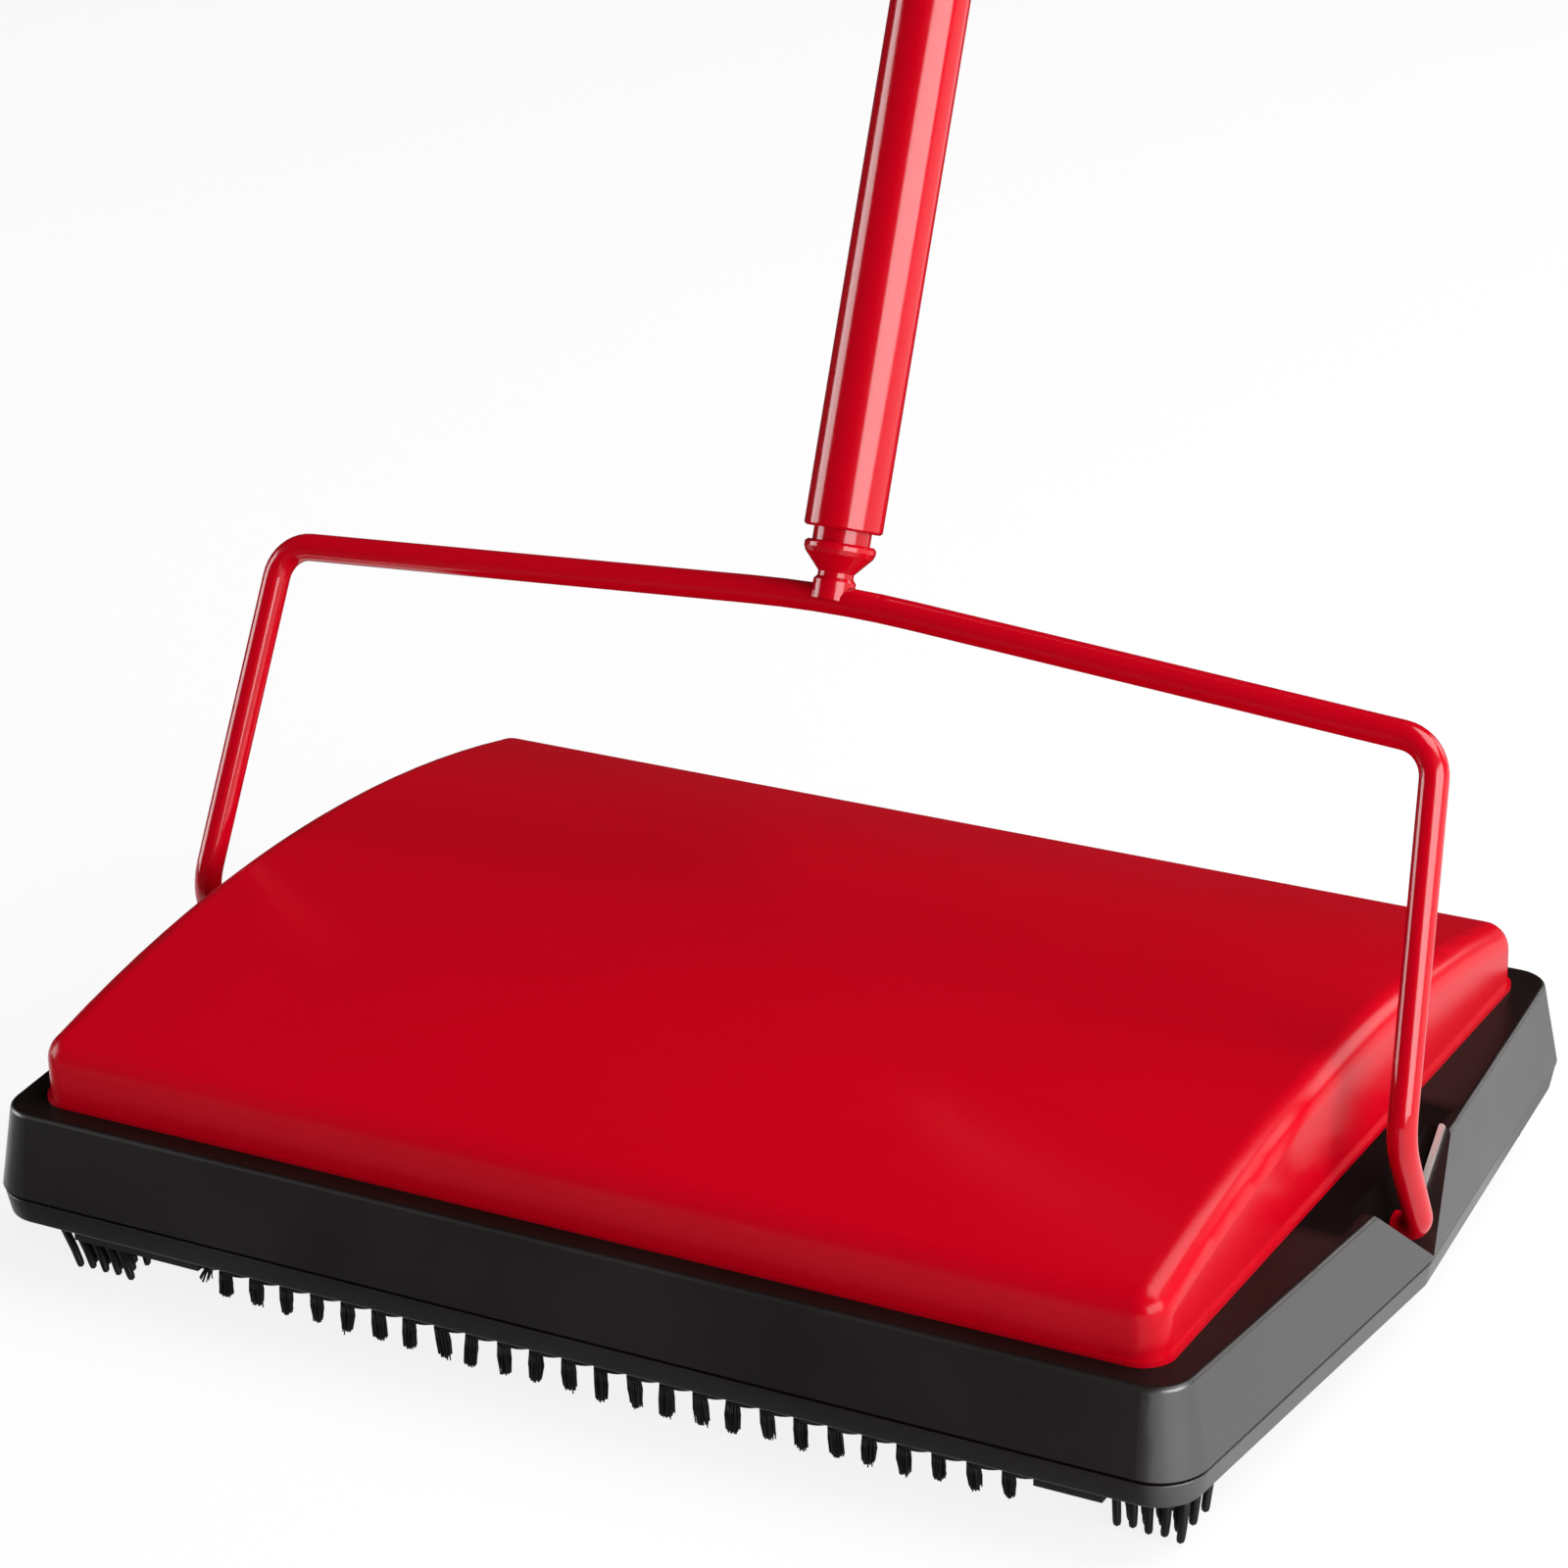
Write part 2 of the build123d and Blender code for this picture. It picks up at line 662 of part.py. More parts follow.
# Dust pans on their hinge rods
for name, end in ends.items():
    pan_profile = [
        (pan_back_y, pan_floor_z),
        (pan_back_y, pan_top_z),
        (pan_back_y - pan_t, pan_top_z),
        (pan_back_y - pan_t, pan_floor_z + pan_t),
        (pan_lip_y + 4.3, pan_floor_z + pan_t),
        (pan_lip_y + 0.9, pan_floor_z + 4.2),
        (pan_lip_y, pan_floor_z + 3.3),
        (pan_lip_y + 3.9, pan_floor_z),
    ]
    cheek_profile = [
        (pan_back_y, pan_floor_z),
        (pan_back_y, pan_top_z),
        (pan_lip_y + 12, pan_top_z),
        (pan_lip_y + 4, pan_floor_z + 4),
        (pan_lip_y + 3.9, pan_floor_z),
    ]
    with BuildPart() as dust_pan:
        with BuildSketch(Plane.YZ):
            with BuildLine():
                Polyline([(end * y, z) for y, z in pan_profile], close=True)
            make_face()
        extrude(amount=pan_half_w, both=True)
        for side in sides.values():
            with BuildSketch(Plane.YZ.offset(side * pan_half_w)):
                with BuildLine():
                    Polyline([(end * y, z) for y, z in cheek_profile], close=True)
                make_face()
            extrude(amount=-side * pan_t)
        with Locations((0, end * hinge_y, hinge_z)):
            Cylinder(hinge_r + run_fit, 3 * pan_half_w, rotation=(0, 90, 0), mode=Mode.SUBTRACT)
    save(dust_pan, f"dust_pan_{name}")

    with BuildPart() as hinge_rod:
        with Locations((0, end * hinge_y, hinge_z)):
            Cylinder(hinge_r, 2 * hanger_out_x - 1, rotation=(0, 90, 0))
        chamfer(hinge_rod.edges().filter_by(GeomType.CIRCLE), 0.3)
    save(hinge_rod, f"pan_hinge_rod_{name}")

# Hangers: they hold the hinge rods and the edge brushes
hanger_back = hinge_y - 4
hanger_top = inner_top - mount_gap
ear_bottom = hinge_z - hinge_r - 1.0
block_bottom = stem_z - stem_r - stem_wall
plate_bottom = hinge_z
for end_name, end in ends.items():
    for side_name, side in sides.items():
        block_in = side * hanger_block_in_x - end * brush_shift
        block_out = side * hanger_block_out_x
        with BuildPart() as hanger:
            with BuildSketch(Plane.YZ.offset(side * hanger_in_x)):
                with BuildLine():
                    Polyline(
                        (end * hanger_front, plate_bottom),
                        (end * hanger_front, seam_z + 6),
                        (end * (hanger_front - 6), hanger_top),
                        (end * hanger_back, hanger_top - 10),
                        (end * hanger_back, ear_bottom + 2),
                        (end * (hanger_back + 2), ear_bottom),
                        (end * (hinge_y + 3), ear_bottom),
                        (end * (hinge_y + 5), plate_bottom),
                        close=True,
                    )
                make_face()
            extrude(amount=side * hanger_w)
            with BuildSketch(Plane.XY.offset(block_bottom)):
                with Locations(((block_in + block_out) / 2, end * (hanger_front + hanger_block_y) / 2)):
                    Rectangle(abs(block_out - block_in), hanger_front - hanger_block_y)
            extrude(amount=seam_z - 2 - block_bottom)
            with BuildSketch(Plane.YZ):
                with Locations((end * hinge_y, hinge_z)):
                    Circle(hinge_r + seat_gap)
                with Locations((end * stem_y, stem_z)):
                    Circle(stem_r + seat_gap)
            extrude(amount=body_half_w, both=True, mode=Mode.SUBTRACT)
        save(hanger, f"hanger_{end_name}_{side_name}")

# Edge brushes: tufts along a wire stem
tuft_start = -tuft_pitch * (tuft_count - 1) / 2
slice_top = stem_z - stem_r - seat_gap
slice_t = 0.8
strand_pitch = 1.25
for name, end in ends.items():
    with BuildPart() as edge_stem:
        with Locations((0, end * stem_y, stem_z)):
            Cylinder(stem_r, 2 * hanger_out_x - 1, rotation=(0, 90, 0))
    save(edge_stem, f"edge_stem_{name}")

    with BuildPart() as edge_bristles:
        with Locations((-end * brush_shift, end * stem_y, slice_top)):
            Box(
                -2 * tuft_start + 6,
                2.0,
                slice_t,
                align=(Align.CENTER, Align.CENTER, Align.MAX),
            )
        for index in range(tuft_count):
            along = tuft_start + index * tuft_pitch
            tuft_x = along - end * brush_shift
            low_z = tuft_low_z + tuft_sag * (along / tuft_start) ** 2
            with BuildSketch(Plane.XY.offset(low_z)):
                with Locations((tuft_x, end * stem_y)):
                    with GridLocations(strand_pitch, 1, tuft_strands, 1):
                        Rectangle(tuft_strand, tuft_strand)
            extrude(amount=slice_top - slice_t - low_z)
    save(edge_bristles, f"edge_bristles_{name}")

# Corner brushes: a holder on a post, with a clump of thick bristles that close in towards their tips
holder_bottom = skirt_bottom - 1.9
holder_top = seam_z - 1.5
clump = [
    (column - (4 - row % 2) / 2, row - 2)
    for row in range(5)
    for column in range(5 - row % 2)
]
clump_set = {
    ("front", "left"): Vector(9.7, -6.2),
    ("front", "right"): Vector(0.6, -3.0),
    ("rear", "left"): Vector(0.6, 3.0),
    ("rear", "right"): Vector(-0.6, 3.0),
}
for end_name, end in ends.items():
    for side_name, side in sides.items():
        with BuildPart() as corner_holder:
            with BuildSketch(Plane.XY.offset(holder_bottom)):
                with Locations((side * corner_x, end * corner_y)):
                    RectangleRounded(holder_w, holder_w, 3)
            extrude(amount=holder_top - holder_bottom)
            with BuildSketch(Plane.XY.offset(holder_top)):
                with Locations((side * corner_x, end * corner_y)):
                    Circle(3.8)
            extrude(amount=inner_top - mount_gap - holder_top)
        save(corner_holder, f"corner_holder_{end_name}_{side_name}")

        plate_top = holder_bottom - seat_gap
        strands = []
        for index, (column, row) in enumerate(clump):
            root = Vector(column * corner_pitch, row * corner_pitch * 0.88, plate_top - 0.9)
            low = 0.9 + 0.9 * (index * 5 % 7) / 7
            tip = Vector(root.X * corner_gather, root.Y * corner_gather, low) + clump_set[end_name, side_name]
            strands.append((root + Vector(side * corner_x, end * corner_y, 0), tip - root))
        strand_places = [Plane(origin=root, x_dir=(1, 0, 0), z_dir=way).location for root, way in strands]
        with BuildPart() as corner_bristles:
            with BuildSketch(Plane.XY.offset(plate_top)):
                with Locations((side * corner_x, end * corner_y)):
                    RectangleRounded(holder_w - 0.4, holder_w - 0.4, 2.8)
            extrude(amount=-1.0)
            for place, (root, way) in zip(strand_places, strands):
                with Locations(place):
                    Box(
                        corner_strand,
                        corner_strand,
                        way.length,
                        align=(Align.CENTER, Align.CENTER, Align.MIN),
                    )
        save(corner_bristles, f"corner_bristles_{end_name}_{side_name}")
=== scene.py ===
"""Carpet sweeper: finishes, brushes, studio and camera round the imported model, in metres."""

from math import cos, pi, radians, sin
from random import Random

import bmesh
import bpy
from mathutils import Matrix, Vector


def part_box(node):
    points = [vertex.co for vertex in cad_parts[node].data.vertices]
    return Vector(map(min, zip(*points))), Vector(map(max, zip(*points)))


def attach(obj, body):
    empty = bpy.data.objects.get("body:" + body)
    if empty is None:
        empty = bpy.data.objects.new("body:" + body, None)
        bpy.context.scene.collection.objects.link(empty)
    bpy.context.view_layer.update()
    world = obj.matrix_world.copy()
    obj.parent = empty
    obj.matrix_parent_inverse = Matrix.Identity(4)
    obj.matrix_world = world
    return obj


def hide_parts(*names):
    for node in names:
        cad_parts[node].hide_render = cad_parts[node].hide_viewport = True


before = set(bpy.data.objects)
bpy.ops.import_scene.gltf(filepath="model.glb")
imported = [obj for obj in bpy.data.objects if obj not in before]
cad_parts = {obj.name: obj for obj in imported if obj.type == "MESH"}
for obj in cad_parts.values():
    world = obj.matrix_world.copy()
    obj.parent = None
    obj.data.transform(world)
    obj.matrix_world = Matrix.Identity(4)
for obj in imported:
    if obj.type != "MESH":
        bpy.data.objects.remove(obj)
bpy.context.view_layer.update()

MM = 0.001
sides = {"left": -1, "right": 1}
ends = {"front": -1, "rear": 1}

# Edge brushes: tufts in a row, with half a turn of the twisted wire from each to the next
tuft_count = 25
tuft_pitch = 7.642 * MM

# Turn from one filament to the next that fills a round evenly, in radians
even_turn = 2.4

# Noise keeps near its middle, so this part of it is stretched to the range that a finish needs
noise_span = {"From Min": 0.3, "From Max": 0.7}


def linear(colour):
    """Scene-linear colour of an sRGB hex string."""
    channels = [int(colour[i:i + 2], 16) / 255 for i in (0, 2, 4)]
    return [c / 12.92 if c <= 0.04045 else ((c + 0.055) / 1.055) ** 2.4 for c in channels] + [1.0]


def grain(size):
    """Pattern scale for features of a size in millimetres."""
    return 1 / (size * MM)


def plug(tree, node, sockets):
    """Set a node's sockets to plain values, or link them to other nodes' outputs."""
    for key, value in sockets.items():
        if isinstance(value, bpy.types.NodeSocket):
            tree.links.new(value, node.inputs[key])
        else:
            node.inputs[key].default_value = value


def add(tree, kind, sockets=None, **settings):
    """Add a shader node with its settings and its sockets."""
    node = tree.nodes.new("ShaderNode" + kind)
    for key, value in settings.items():
        setattr(node, key, value)
    plug(tree, node, sockets or {})
    return node


def start_material(name):
    """A new material with its shader, and the coordinates of the piece itself."""
    material = bpy.data.materials.new(name)
    material.use_nodes = True
    tree = material.node_tree
    shader = tree.nodes["Principled BSDF"]
    place = add(tree, "TexCoord").outputs["Object"]
    return material, tree, shader, place


def stove_enamel(name, roughness, specular):
    """Stoved enamel on steel.

    The wet film levels into a faint orange peel, and wiping dulls it in fine streaks.
    """
    wear = 0.03
    material, tree, shader, place = start_material(name)
    cloud = add(tree, "TexNoise", {"Vector": place, "Scale": grain(60), "Detail": 3.0}).outputs["Fac"]
    peel = add(tree, "TexNoise", {"Vector": place, "Scale": grain(1.6), "Detail": 1.0}).outputs["Fac"]
    wipe_place = add(tree, "Mapping", {"Vector": place, "Scale": (1.0, 14.0, 14.0)}).outputs[0]
    streaks = {"Vector": wipe_place, "Scale": grain(25), "Detail": 4.0}
    wipe = add(tree, "TexNoise", streaks).outputs["Fac"]
    relief = add(tree, "Bump", {"Height": peel, "Strength": 0.03, "Distance": 0.05 * MM})
    shades = {"Factor": cloud, "A": linear("B60014"), "B": linear("BF021A")}
    wiped = {"Value": wipe, **noise_span, "To Min": roughness - wear, "To Max": roughness + wear}
    plug(tree, shader, {
        "Base Color": add(tree, "Mix", shades, data_type="RGBA").outputs["Result"],
        "Roughness": add(tree, "MapRange", wiped).outputs["Result"],
        "Specular IOR Level": specular,
        "Normal": relief.outputs["Normal"],
    })
    return material


def moulded_abs():
    """Black ABS from a lightly spark-eroded mould.

    The walls keep a soft sheen. On faces that look up and inside the side notches it is turned down, as
    painted shade that keeps them dark.
    The spark grain is drawn at half a millimetre, coarser than the real one, so that it shows.
    """
    notch_x = 141 * MM
    notch_y = 30 * MM
    material, tree, shader, place = start_material("black_moulded_abs")
    facing = add(tree, "SeparateXYZ", {"Vector": add(tree, "TexCoord").outputs["Normal"]}).outputs
    # Painted shade: the sheen fades on faces that look up
    upward_painted_shade = {"From Min": 0.5, "From Max": 0.95, "To Min": 0.95, "To Max": 0.05}
    wall = add(tree, "MapRange", {"Value": facing["Z"], **upward_painted_shade}).outputs[0]
    spot = add(tree, "SeparateXYZ", {"Vector": place}).outputs
    out = add(tree, "Math", {0: spot["X"]}, operation="ABSOLUTE").outputs[0]
    along = add(tree, "Math", {0: spot["Y"]}, operation="ABSOLUTE").outputs[0]
    # Painted shade: no sheen inside the side notches, so these recesses stay dark
    outer_ramp = {"From Min": notch_x, "From Max": notch_x + 2 * MM}
    past_ramp = {"From Min": notch_y, "From Max": notch_y + 5 * MM}
    outer = add(tree, "MapRange", {"Value": out, **outer_ramp}).outputs[0]
    past = add(tree, "MapRange", {"Value": along, **past_ramp}).outputs[0]
    clear_of_painted_notch_shade = add(tree, "Math", {0: outer, 1: past}, operation="MAXIMUM").outputs[0]
    sheen = add(tree, "Math", {0: wall, 1: clear_of_painted_notch_shade}, operation="MULTIPLY").outputs[0]
    spark = add(tree, "TexNoise", {"Vector": place, "Scale": grain(0.5), "Detail": 2.0}).outputs["Fac"]
    handled = add(tree, "TexNoise", {"Vector": place, "Scale": grain(35), "Detail": 4.0}).outputs["Fac"]
    relief = add(tree, "Bump", {"Height": spark, "Strength": 0.08, "Distance": 0.03 * MM})
    shades = {"Factor": handled, "A": linear("120C0B"), "B": linear("1A1211")}
    worn = {"Value": handled, **noise_span, "To Min": 0.33, "To Max": 0.41}
    plug(tree, shader, {
        "Base Color": add(tree, "Mix", shades, data_type="RGBA").outputs["Result"],
        "Roughness": add(tree, "MapRange", worn).outputs["Result"],
        "IOR": 1.7,
        "Specular IOR Level": sheen,
        "Normal": relief.outputs["Normal"],
    })
    return material


def nylon_bristle():
    """Black nylon monofilament: each filament differs a little, and dust takes its shine in places."""
    material, tree, shader, place = start_material("black_nylon_bristle")
    filament = add(tree, "NewGeometry").outputs["Random Per Island"]
    dust = add(tree, "TexNoise", {"Vector": place, "Scale": grain(4), "Detail": 3.0}).outputs["Fac"]
    shades = {"Factor": filament, "A": linear("080707"), "B": linear("181413")}
    dusty = {"Value": dust, **noise_span, "To Min": 0.42, "To Max": 0.62}
    plug(tree, shader, {
        "Base Color": add(tree, "Mix", shades, data_type="RGBA").outputs["Result"],
        "Roughness": add(tree, "MapRange", dusty).outputs["Result"],
        "Specular IOR Level": 0.3,
    })
    return material


def bright_plate():
    """Satin nickel plate on a strip: brushed lengthwise, so it glows evenly instead of mirroring."""
    material, tree, shader, place = start_material("nickel_plated_strip")
    brush_place = add(tree, "Mapping", {"Vector": place, "Scale": (30.0, 1.0, 1.0)}).outputs[0]
    scratches = {"Vector": brush_place, "Scale": grain(6), "Detail": 3.0}
    brush = add(tree, "TexNoise", scratches).outputs["Fac"]
    shades = {"Factor": brush, "A": linear("E6E3DE"), "B": linear("F4F2EE")}
    brushed = {"Value": brush, **noise_span, "To Min": 0.5, "To Max": 0.62}
    plug(tree, shader, {
        "Base Color": add(tree, "Mix", shades, data_type="RGBA").outputs["Result"],
        "Metallic": 1.0,
        "Roughness": add(tree, "MapRange", brushed).outputs["Result"],
    })
    return material


def drawn_steel():
    """Drawn steel wire and rod: die lines along X, drawn coarser than real, and a thin film of oil."""
    material, tree, shader, place = start_material("drawn_steel_wire")
    die_place = add(tree, "Mapping", {"Vector": place, "Scale": (0.05, 1.0, 1.0)}).outputs[0]
    die = add(tree, "TexNoise", {"Vector": die_place, "Scale": grain(0.4), "Detail": 2.0}).outputs["Fac"]
    film = add(tree, "TexNoise", {"Vector": place, "Scale": grain(12), "Detail": 4.0}).outputs["Fac"]
    relief = add(tree, "Bump", {"Height": die, "Strength": 0.15, "Distance": 0.02 * MM})
    shades = {"Factor": film, "A": linear("4A494A"), "B": linear("686766")}
    oiled = {"Value": film, **noise_span, "To Min": 0.22, "To Max": 0.4}
    plug(tree, shader, {
        "Base Color": add(tree, "Mix", shades, data_type="RGBA").outputs["Result"],
        "Metallic": 1.0,
        "Roughness": add(tree, "MapRange", oiled).outputs["Result"],
        "Normal": relief.outputs["Normal"],
    })
    return material


def zinc_sheet():
    """Hot-dipped zinc on thin sheet: flat crystals of differing grey, dulled and scuffed by grit."""
    material, tree, shader, place = start_material("galvanised_sheet")
    spangle = add(tree, "TexVoronoi", {"Vector": place, "Scale": grain(9), "Randomness": 1.0})
    grey = add(tree, "SeparateColor", {"Color": spangle.outputs["Color"]}).outputs["Red"]
    scuff = add(tree, "TexNoise", {"Vector": place, "Scale": grain(18), "Detail": 6.0}).outputs["Fac"]
    relief = add(tree, "Bump", {"Height": scuff, "Strength": 0.2, "Distance": 0.1 * MM})
    shades = {"Factor": grey, "A": linear("8F959A"), "B": linear("B4B9BC")}
    scuffed = {"Value": scuff, **noise_span, "To Min": 0.32, "To Max": 0.55}
    plug(tree, shader, {
        "Base Color": add(tree, "Mix", shades, data_type="RGBA").outputs["Result"],
        "Metallic": 1.0,
        "Roughness": add(tree, "MapRange", scuffed).outputs["Result"],
        "Normal": relief.outputs["Normal"],
    })
    return material


def tread_rubber():
    """Moulded black rubber: matt, greyed by floor dust, with pits drawn coarser than real."""
    material, tree, shader, place = start_material("moulded_rubber")
    dust = add(tree, "TexNoise", {"Vector": place, "Scale": grain(7), "Detail": 6.0}).outputs["Fac"]
    pit = add(tree, "TexNoise", {"Vector": place, "Scale": grain(0.6), "Detail": 2.0}).outputs["Fac"]
    relief = add(tree, "Bump", {"Height": pit, "Strength": 0.3, "Distance": 0.08 * MM})
    greyed = add(tree, "MapRange", {"Value": dust, **noise_span, "To Min": 0.0, "To Max": 1.0})
    shades = {"Factor": greyed.outputs["Result"], "A": linear("17161A"), "B": linear("332F2E")}
    dusty = {"Value": dust, **noise_span, "To Min": 0.68, "To Max": 0.85}
    plug(tree, shader, {
        "Base Color": add(tree, "Mix", shades, data_type="RGBA").outputs["Result"],
        "Roughness": add(tree, "MapRange", dusty).outputs["Result"],
        "Normal": relief.outputs["Normal"],
    })
    return material


def grey_acetal():
    """Dark grey acetal of the hubs and drums: waxy, with flow marks from moulding."""
    material, tree, shader, place = start_material("grey_acetal")
    flow_place = add(tree, "Mapping", {"Vector": place, "Scale": (0.3, 1.0, 1.0)}).outputs[0]
    flow_marks = {"Vector": flow_place, "Scale": grain(10), "Detail": 4.0, "Distortion": 1.5}
    flow = add(tree, "TexNoise", flow_marks).outputs["Fac"]
    shades = {"Factor": flow, "A": linear("3C3D40"), "B": linear("4B4C50")}
    waxy = {"Value": flow, **noise_span, "To Min": 0.36, "To Max": 0.5}
    plug(tree, shader, {
        "Base Color": add(tree, "Mix", shades, data_type="RGBA").outputs["Result"],
        "Roughness": add(tree, "MapRange", waxy).outputs["Result"],
    })
    return material


def turned_beech():
    """Turned beech core: pale flecked grain along the roll, sealed thinly, with turning marks."""
    material, tree, shader, place = start_material("turned_beech")
    grain_place = add(tree, "Mapping", {"Vector": place, "Scale": (0.06, 1.0, 1.0)}).outputs[0]
    flecks = {"Vector": grain_place, "Scale": grain(2.5), "Detail": 5.0}
    figure = add(tree, "TexNoise", flecks).outputs["Fac"]
    turning = {"Vector": place, "Scale": grain(6), "Distortion": 1.0}
    ridge = add(tree, "TexWave", turning, bands_direction="X").outputs["Fac"]
    relief = add(tree, "Bump", {"Height": ridge, "Strength": 0.1, "Distance": 0.05 * MM})
    flecked = add(tree, "MapRange", {"Value": figure, **noise_span, "To Min": 0.0, "To Max": 1.0})
    shades = {"Factor": flecked.outputs["Result"], "A": linear("A97B4C"), "B": linear("C9A070")}
    sealed = {"Value": figure, **noise_span, "To Min": 0.45, "To Max": 0.65}
    plug(tree, shader, {
        "Base Color": add(tree, "Mix", shades, data_type="RGBA").outputs["Result"],
        "Roughness": add(tree, "MapRange", sealed).outputs["Result"],
        "Normal": relief.outputs["Normal"],
    })
    return material


def white_paper():
    """Seamless white paper with a barely seen fibre mottle.

    The eye sees it nearly plain white, with a faint shadow under the sweeper. Mirrored in a gloss,
    it glows as a painted reflection: white beside the body and to the right, dark in front, behind and
    far off.
    """
    dark = 0.03
    seen_share = 0.85
    material, tree, shader, place = start_material("white_paper")
    fibre = add(tree, "TexNoise", {"Vector": place, "Scale": grain(3), "Detail": 4.0}).outputs["Fac"]
    shades = {"Factor": fibre, "A": linear("F4F4F4"), "B": linear("F8F8F8")}
    plug(tree, shader, {
        "Base Color": add(tree, "Mix", shades, data_type="RGBA").outputs["Result"],
        "Roughness": 0.9,
        "Specular IOR Level": 0.1,
    })
    ray = add(tree, "LightPath").outputs
    spot = add(tree, "SeparateXYZ", {"Vector": place}).outputs
    ahead = add(tree, "Math", {0: spot["Y"]}, operation="ABSOLUTE").outputs[0]
    away = add(tree, "VectorMath", {0: place}, operation="LENGTH").outputs["Value"]
    # Painted reflection: glossy rays see the floor glow white beside the body and to the right, dark in
    # front, behind and far off
    beside_ramp = {"From Min": 0.07, "From Max": 0.115, "To Min": 1.0, "To Max": dark}
    near_ramp = {"From Min": 0.5, "From Max": 0.9, "To Min": 1.0, "To Max": dark}
    right_ramp = {"From Min": 0.125, "From Max": 0.155, "To Min": 0.0, "To Max": 1.0}
    beside = add(tree, "MapRange", {"Value": ahead, **beside_ramp}).outputs[0]
    near = add(tree, "MapRange", {"Value": away, **near_ramp}).outputs[0]
    right = add(tree, "MapRange", {"Value": spot["X"], **right_ramp}).outputs[0]
    close = add(tree, "Math", {0: beside, 1: near}, operation="MINIMUM").outputs[0]
    mirrored = add(tree, "Math", {0: close, 1: right}, operation="MAXIMUM").outputs[0]
    level = add(tree, "Math", {0: mirrored, 1: ray["Is Camera Ray"]}, operation="MAXIMUM").outputs[0]
    seen = add(tree, "Math", {0: ray["Is Camera Ray"], 1: seen_share}, operation="MULTIPLY").outputs[0]
    either = {0: ray["Is Glossy Ray"], 1: ray["Is Transmission Ray"]}
    gloss = add(tree, "Math", either, operation="MAXIMUM").outputs[0]
    share = add(tree, "Math", {0: gloss, 1: seen}, operation="MAXIMUM").outputs[0]
    white = add(tree, "Emission", {"Color": linear("FFFFFF"), "Strength": level})
    blend = add(tree, "MixShader", {0: share, 1: shader.outputs[0], 2: white.outputs[0]})
    plug(tree, tree.nodes["Material Output"], {"Surface": blend.outputs[0]})
    return material


finish = {
    "red_enamel": stove_enamel("red_stove_enamel", roughness=0.13, specular=0.5),
    "black_plastic": moulded_abs(),
    "dark_bristle": nylon_bristle(),
    "plated_steel": bright_plate(),
    "steel_wire": drawn_steel(),
    "zinc_sheet": zinc_sheet(),
    "rubber": tread_rubber(),
    "grey_plastic": grey_acetal(),
    "wood": turned_beech(),
}
cover_enamel = stove_enamel("red_cover_enamel", roughness=0.23, specular=0.2)
for name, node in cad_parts.items():
    for slot in node.material_slots:
        slot.material = cover_enamel if name == "cover" else finish[slot.material.name.split(".")[0]]


def skin(mesh, rings):
    """Join rings of points, each to the next, with smooth faces."""
    facets = len(rings[0])
    for ring, following in zip(rings, rings[1:]):
        for i in range(facets):
            j = (i + 1) % facets
            mesh.faces.new((ring[i], ring[j], following[j], following[i])).smooth = True


def strand(mesh, points, radii, facets):
    """A closed tapering filament through the points, rounded off at its tip."""
    tip_round = 0.6
    way = (points[-1] - points[0]).normalized()
    across = way.orthogonal().normalized()
    beside = way.cross(across)
    turns = [2 * pi * i / facets for i in range(facets)]
    spokes = [cos(turn) * across + sin(turn) * beside for turn in turns]
    rings = []
    for point, radius in zip(points, radii):
        rings.append([mesh.verts.new(point + radius * spoke) for spoke in spokes])
    skin(mesh, rings)
    tip = mesh.verts.new(points[-1] + way * radii[-1] * tip_round)
    for i in range(facets):
        mesh.faces.new((rings[-1][i], rings[-1][(i + 1) % facets], tip)).smooth = True
    mesh.faces.new(rings[0][::-1])


def piece(name, mesh, body, slot_name, replaced):
    """Turn a finished mesh into a piece of a body, in place of a CAD node."""
    data = bpy.data.meshes.new(name)
    mesh.to_mesh(data)
    mesh.free()
    made = bpy.data.objects.new(name, data)
    bpy.context.collection.objects.link(made)
    made.data.materials.append(finish[slot_name])
    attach(made, body)
    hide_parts(replaced)


def tuft(mesh, root, tip, wide, deep, close, count, radius, rng):
    """Fine filaments packed in an oval at the root, closing or splaying to a rounded, frayed end."""
    stray_every = 8
    stray_more = 2.6
    fray = (0.16, 0.16, 0.2)
    sway = 0.1
    end_round = 0.8 * MM
    bulge = 0.12
    radii = [radius, radius, radius * 0.75]
    for i in range(count):
        turn = even_turn * i
        out = ((i + 0.5) / count) ** 0.5
        offset = Vector((wide * out * cos(turn), deep * out * sin(turn), 0))
        start = root + offset
        loose = stray_more if i % stray_every == 0 else 1.0
        stray = Vector([rng.gauss(0, spread) for spread in fray]) * loose * MM
        end = tip + offset * close + stray + Vector((0, 0, end_round * out ** 3))
        bow = offset * bulge + Vector((rng.gauss(0, sway), rng.gauss(0, sway), 0)) * MM
        middle = start.lerp(end, 0.5) + bow
        strand(mesh, [start, middle, end], radii, facets=5)


